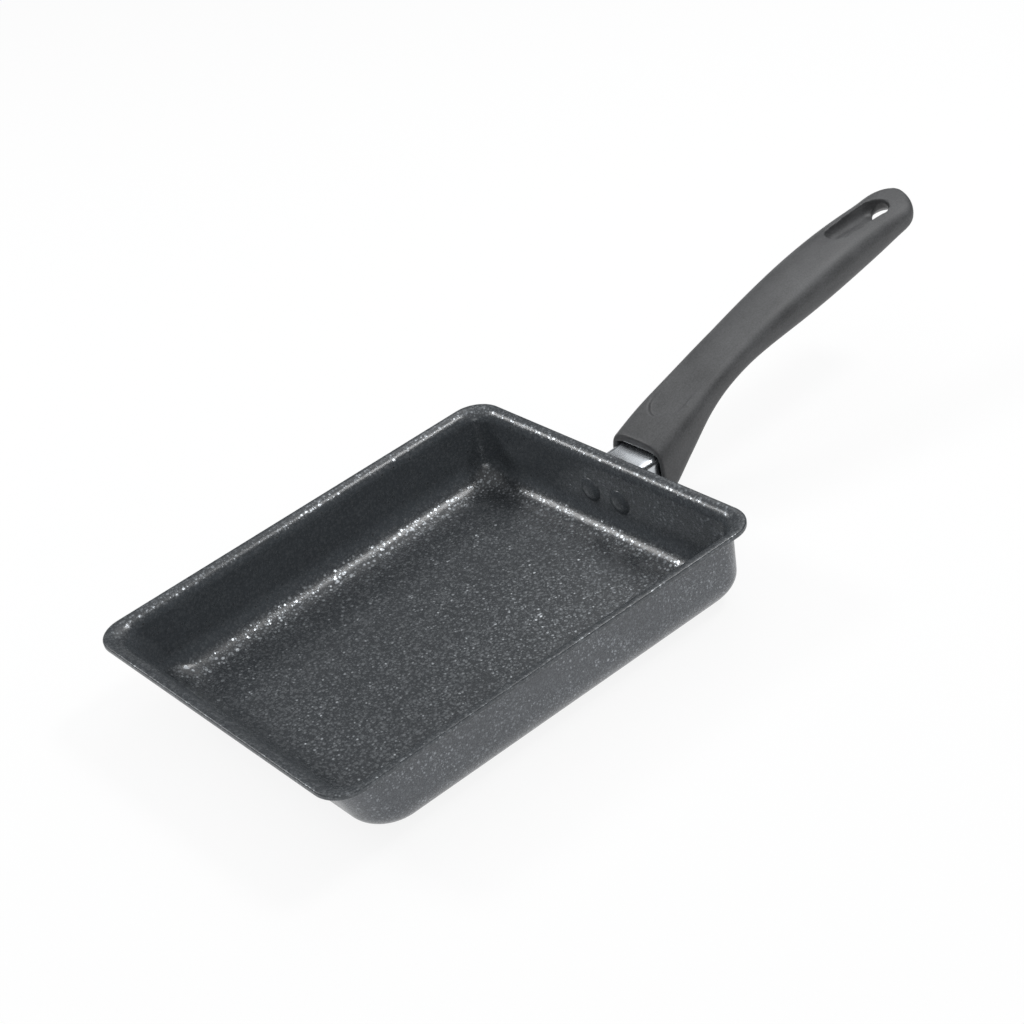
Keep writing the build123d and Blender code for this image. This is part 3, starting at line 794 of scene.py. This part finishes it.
def grip_cutters(grip, fit, material):
    """The solids that are taken out of the grip: mouth, sloped socket, screw hole and well, and hanging eye."""
    before_mouth, before_bend, into_socket, into_well, past_grip = 6 * MM, 2 * MM, 0.5 * MM, 1 * MM, 40 * MM
    top = fit.top_height + fit.mouth_headroom
    bottom = grip.front_top - grip.front_depth + fit.mouth_floor
    middle = (top + bottom) / 2
    outline = rounded_rectangle(2 * (grip.half_width - fit.mouth_wall), top - bottom, fit.mouth_corner)
    ends = (GRIP_LOW.x - before_mouth, 0, middle), (GRIP_LOW.x + fit.mouth_depth, 0, middle)
    cutters = [prism("mouth", outline, (1, 0, 0), *ends, material)]
    slope = Vector((cos(fit.rise_angle), 0, sin(fit.rise_angle)))
    square = Vector((-sin(fit.rise_angle), 0, cos(fit.rise_angle)))
    bend = Vector((fit.bend_place, 0, fit.top_height))
    drop = fit.neck_drop + 2 * fit.clearance
    outline = rounded_rectangle(fit.neck_width + 2 * fit.clearance, drop, fit.bend_radius, top_only=True)
    outline = [(x, -y, z) for x, y, z in reversed(outline)]
    middle = bend + square * (fit.clearance - drop / 2)
    ends = middle - slope * before_bend, middle + slope * (fit.socket_reach + fit.clearance)
    cutters.append(prism("socket", outline, slope, *ends, material))
    seat = bend + slope * fit.screw_place - square * (fit.sheet + fit.clearance)
    circle = [(x, y, 0.0) for x, y in round_points(0, 360, 48)[:-1]]
    for label, radius, start, end in (
        ("screw_hole", fit.screw_hole, into_socket, fit.seat + into_well),
        ("screw_well", fit.well_radius, fit.seat, past_grip),
    ):
        ring = [(x * radius, y * radius, z) for x, y, z in circle]
        cutters.append(prism(label, ring, -square, seat - square * start, seat - square * end, material))
    return cutters + eye_cutters(grip, circle, material)


def eye_cutters(grip, circle, material):
    """The trough of the hanging eye, and the slanting hole at its far end."""
    start = GRIP_LOW.x + grip.eye_start
    end = start + grip.eye_length
    crown = grip.front_top + grip.end_rise
    floor = crown - grip.eye_depth
    above_crown, above_floor = 8 * MM, 4 * MM
    steps, round_steps = 28, 6
    outline = []
    for centre, radius, first in (
        (end - grip.eye_far_radius, grip.eye_far_radius, -90), (start + grip.eye_near_radius, grip.eye_near_radius, 90)
    ):
        outline += [(centre + radius * x, radius * y) for x, y in round_points(first, 180, steps)]

    def floor_at(x):
        part = eased((x - start) / grip.eye_entry_length)
        return crown - grip.eye_entry - part * (grip.eye_depth - grip.eye_entry)

    rings = []
    for cosine, sine in round_points(0, 90, round_steps):
        shrink, lift = grip.eye_round * (1 - sine), grip.eye_round * (1 - cosine)
        ring = []
        for x, y in outline:
            middle = Vector((min(max(x, start + grip.eye_near_radius), end - grip.eye_far_radius), 0.0))
            away = Vector((x, y)) - middle
            point = middle + away * (1 - shrink / away.length)
            ring.append((point.x, point.y, floor_at(point.x) + lift))
        rings.append(ring)
    rings.append([(x, y, crown + above_crown) for x, y in outline])
    trough = make_piece("eye_trough", *stitched(rings), material)
    down = Vector((sin(grip.hole_tilt), 0, -cos(grip.hole_tilt)))
    centre = Vector((end - grip.hole_inset, 0, floor))
    rings = []
    for along, flare, spread in (
        (-above_floor, 0.0, 0.0), (0.0, 0.0, 0.0), (grip.hole_reach, grip.hole_flare, grip.hole_spread)
    ):
        placed = looking_along(down, centre + down * along)
        radius, across = grip.hole_radius + flare, grip.hole_radius + flare + spread
        rings.append([placed @ Vector((x * across, y * radius, 0.0)) for x, y, z in circle])
    return [trough, make_piece("eye_hole", *stitched(rings), material)]


def carve(piece, cutters):
    for cutter in cutters:
        faces_out(cutter)
        cut = piece.modifiers.new(cutter.name, "BOOLEAN")
        having(cut, operation="DIFFERENCE", solver="EXACT", object=cutter)
    baked(piece)
    for cutter in cutters:
        bpy.data.objects.remove(cutter)


def faces_out(piece):
    solid = bmesh.new()
    solid.from_mesh(piece.data)
    bmesh.ops.recalc_face_normals(solid, faces=solid.faces)
    solid.to_mesh(piece.data)
    solid.free()


# ---- operators


class PAN_OT_tray(Operator):
    """Make the coated tray"""

    bl_idname = "pan.tray"
    bl_label = "Tray"

    def execute(self, context):
        settings, coating = context.scene.pan_tray, context.scene.pan_coating
        rings, outer = tray_rings(settings)
        tray = make_piece("coated_tray", *stitched(rings), speckled_coating(coating))
        faces_out(tray)
        around = len(rings[0])
        flare = settings.height - settings.flare_depth
        # The upright mark carries painted light and shade: steep inner faces, and the rim's inside by rim_share, get a
        # brighter ground and dimmer flecks.
        outside, upright = [], []
        for index, vertex in enumerate(tray.data.vertices):
            outside.append(1.0 if index // around < outer else 0.0)
            steep = 1.0 - held((vertex.normal.z - 0.5) / 0.45)
            upright.append((1.0 - outside[-1]) * max(steep, coating.rim_share if vertex.co.z > flare else 0.0))
        mark_points(tray, "outside", outside)
        mark_points(tray, "upright", upright)
        hand_over(tray, "pan_tray")
        return {"FINISHED"}


class PAN_OT_rivets(Operator):
    """Make the row of rivets that holds the bracket"""

    bl_idname = "pan.rivets"
    bl_label = "Rivets"

    def execute(self, context):
        rivet = context.scene.pan_rivets
        tray = context.scene.pan_tray
        coating = bpy.data.objects["coated_tray"].data.materials[0]
        bare = turned_metal("rivet_aluminium", rivet.bare, roughness=0.34)
        inside = tray.length / 2 - tray.lip_overhang - tray.wall
        start = (0.0, -rivet.spacing * (rivet.count - 1) / 2, rivet.place_height)
        arc = [sin(k * pi / 32) for k in range(17)]
        dome = [
            (inside - rivet.head_height * (1 - part**3) ** 0.7, rivet.head_radius * max(0.02, part)) for part in arc
        ]
        sunk, tip = 0.4 * MM, 0.1 * MM
        dome += [(inside + sunk, rivet.head_radius), (inside + sunk, rivet.head_radius * 0.2)]
        head = make_piece("rivet_head", *turned(dome), coating)
        outside = tray.length / 2 - tray.lip_overhang + context.scene.pan_fit.sheet
        tail = [(outside - sunk, tip), (outside - sunk, rivet.tail_radius)]
        tail += [
            (outside + up * rivet.tail_height, wide * rivet.tail_radius)
            for up, wide in ((0.35, 1.0), (0.72, 0.93), (0.93, 0.78), (1.0, 0.5))
        ]
        tail.append((outside + rivet.tail_height, tip))
        end = make_piece("rivet_tail", *turned(tail), bare)
        rows = []
        for seed, material in ((head, coating), (end, bare)):
            faces_out(seed)
            rows.append(row_of(seed, start, (0.0, rivet.spacing, 0.0), rivet.count, material))
        rivets = join_meshes("rivets", rows)
        # Painted light: marked upright, the rivets take the inner walls' brightened ground and dimmed flecks.
        mark_points(rivets, "upright", [1.0] * len(rivets.data.vertices))
        hand_over(rivets, "pan_rivets")
        return {"FINISHED"}


class PAN_OT_bracket(Operator):
    """Make the bent steel bracket"""

    bl_idname = "pan.bracket"
    bl_label = "Bracket"

    def execute(self, context):
        settings = context.scene.pan_bracket
        bracket = dress_node("handle_bracket", "bracket", rolled_sheet(settings), settings.edge_round)
        hand_over(bracket, "handle_bracket")
        return {"FINISHED"}


class PAN_OT_grip(Operator):
    """Make the moulded grip with its mouth, thumb dish, hanging eye and screw well"""

    bl_idname = "pan.grip"
    bl_label = "Grip"

    def execute(self, context):
        settings = context.scene.pan_grip
        resin = moulded_resin(settings)
        grip = make_piece("grip", *grip_skin(settings), resin)
        faces_out(grip)
        carve(grip, grip_cutters(settings, context.scene.pan_fit, resin))
        having(grip.modifiers.new("Even mesh", "REMESH"), mode="VOXEL", voxel_size=settings.grain_step)
        having(grip.modifiers.new("Soft edges", "SMOOTH"), factor=0.5, iterations=settings.softening)
        baked(grip)
        grip.data.shade_smooth()
        grip.data.materials.clear()
        grip.data.materials.append(resin)
        hand_over(grip, "handle_grip")
        return {"FINISHED"}


class PAN_OT_fixing(Operator):
    """Make the screw, its washer and the nut in the tongue"""

    bl_idname = "pan.fixing"
    bl_label = "Screw, washer and nut"

    def execute(self, context):
        settings = context.scene.pan_fixing
        zinc = turned_metal("plated_steel", settings.zinc, roughness=0.3)
        brass = turned_metal("turned_brass", settings.brass, roughness=0.3)
        for node, name, metal, slot in (
            ("handle_screw", "screw", zinc, "zinc_steel"),
            ("lock_washer", "washer", zinc, "zinc_steel"),
            ("tongue_nut", "nut", brass, "nut_brass"),
        ):
            hand_over(dress_node(node, name, metal, settings.edge_round), node)
        return {"FINISHED"}


class PAN_OT_stage(Operator):
    """Make the floor, the sky, the lamps and the camera"""

    bl_idname = "pan.stage"
    bl_label = "Stage"

    def execute(self, context):
        stage = context.scene.pan_stage
        self.floor(stage)
        self.sky(context.scene, stage)
        self.lamps(stage)
        self.camera(context.scene, stage)
        return {"FINISHED"}

    def floor(self, stage):
        shade = Shading("studio_floor")
        shade.set(Base_Color=shade.blend(shade.noise(0.5), rgba(stage.floor, 0.995), rgba(stage.floor)), Roughness=0.9)
        path = shade.node("ShaderNodeLightPath").outputs
        seen = shade.maths("MAXIMUM", path["Is Camera Ray"], path["Is Glossy Ray"])
        seen = shade.maths("MAXIMUM", seen, path["Is Transmission Ray"])
        part = shade.maths("MULTIPLY", seen, stage.glow)
        white = shade.node("ShaderNodeEmission", {"Color": rgba((1.0, 1.0, 1.0))}).outputs[0]
        mix = shade.node("ShaderNodeMixShader", {0: part, 1: shade.shader.outputs[0], 2: white})
        shade.join(mix.outputs[0], shade.output.inputs["Surface"])
        reach, below = 4.0, -0.0002
        points = [(x * reach, y * reach, below) for x, y in ((-1, -1), (1, -1), (1, 1), (-1, 1))]
        make_piece("studio_ground", points, [(0, 1, 2, 3)], shade.material)

    def sky(self, scene, stage):
        """A soft ceiling, and a pale backdrop low down on the far side from the camera."""
        world = bpy.data.worlds.new("soft_sky")
        world.use_nodes = True
        nodes = NodeTree(world.node_tree)
        place = nodes.node("ShaderNodeTexCoord").outputs["Generated"]
        height = nodes.node("ShaderNodeSeparateXYZ", {0: place}).outputs["Z"]
        away = (-cos(stage.azimuth), -sin(stage.azimuth), 0.0)
        facing = nodes.node("ShaderNodeVectorMath", {0: place, 1: away}, operation="DOT_PRODUCT").outputs["Value"]
        ceiling = nodes.ease(height, 0.45, 0.95, stage.horizon, stage.zenith)
        low_down = nodes.ease(height, 0.3, 0.85, 1.0, 0.0)
        backdrop = nodes.maths("MULTIPLY", low_down, nodes.ease(facing, 0.1, 0.8, 0.0, stage.backdrop))
        strength = nodes.maths("ADD", backdrop, ceiling)
        light = nodes.node("ShaderNodeBackground", {"Color": rgba((0.975, 0.988, 1.0)), "Strength": strength})
        nodes.node("ShaderNodeOutputWorld", {"Surface": light.outputs[0]})
        scene.world = world

    def lamps(self, stage):
        for name, place, width in LAMPS:
            light = having(
                bpy.data.lights.new(name + "_softbox", "AREA"), shape="RECTANGLE", size=width, size_y=width * 0.8,
                energy=getattr(stage, name),
            )
            turn = (Vector(place) - AIM).to_track_quat("Z", "Y").to_matrix().to_4x4()
            in_scene(name + "_softbox", light).matrix_world = Matrix.Translation(place) @ turn

    def camera(self, scene, stage):
        level = cos(stage.elevation)
        away = Vector((level * cos(stage.azimuth), level * sin(stage.azimuth), sin(stage.elevation)))
        right = Vector((0.0, 0.0, 1.0)).cross(away).normalized()
        up = away.cross(right)
        turned_right = right * cos(stage.roll) + up * sin(stage.roll)
        turned_up = up * cos(stage.roll) - right * sin(stage.roll)
        lens = having(bpy.data.cameras.new("photo_camera"), lens=stage.lens, sensor_width=36.0, clip_start=0.01)
        scene.camera = in_scene("photo_camera", lens)
        target = Vector((stage.target_x, stage.target_y, 0.0))
        scene.camera.matrix_world = placement(turned_right, turned_up, away, target + away * stage.distance)
        scene.view_settings.view_transform = "Standard"


class PAN_PT_panel(Panel):
    bl_label = "Omelette pan"
    bl_idname = "PAN_PT_panel"
    bl_space_type = "VIEW_3D"
    bl_region_type = "UI"
    bl_category = "Pan"

    def draw(self, context):
        for operator in OPERATORS:
            self.layout.operator(operator.bl_idname)
        for label in SETTINGS:
            box = self.layout.box()
            group = getattr(context.scene, label)
            for key in SETTINGS[label].__annotations__:
                box.prop(group, key)


SETTINGS = {
    "pan_tray": PanTraySettings,
    "pan_coating": CoatingSettings,
    "pan_rivets": RivetSettings,
    "pan_bracket": BracketSettings,
    "pan_grip": GripSettings,
    "pan_fit": BracketFitSettings,
    "pan_fixing": FixingSettings,
    "pan_stage": StageSettings,
}
OPERATORS = (PAN_OT_stage, PAN_OT_tray, PAN_OT_rivets, PAN_OT_bracket, PAN_OT_grip, PAN_OT_fixing)
CLASSES = (*SETTINGS.values(), *OPERATORS, PAN_PT_panel)


def register():
    for group in CLASSES:
        bpy.utils.register_class(group)
    for label, group in SETTINGS.items():
        setattr(Scene, label, PointerProperty(type=group))


def unregister():
    for label in SETTINGS:
        delattr(Scene, label)
    for group in reversed(CLASSES):
        bpy.utils.unregister_class(group)


def main():
    register()
    bpy.ops.pan.stage()
    bpy.ops.pan.tray()
    bpy.ops.pan.rivets()
    bpy.ops.pan.bracket()
    bpy.ops.pan.grip()
    bpy.ops.pan.fixing()


if __name__ == "__main__":
    main()
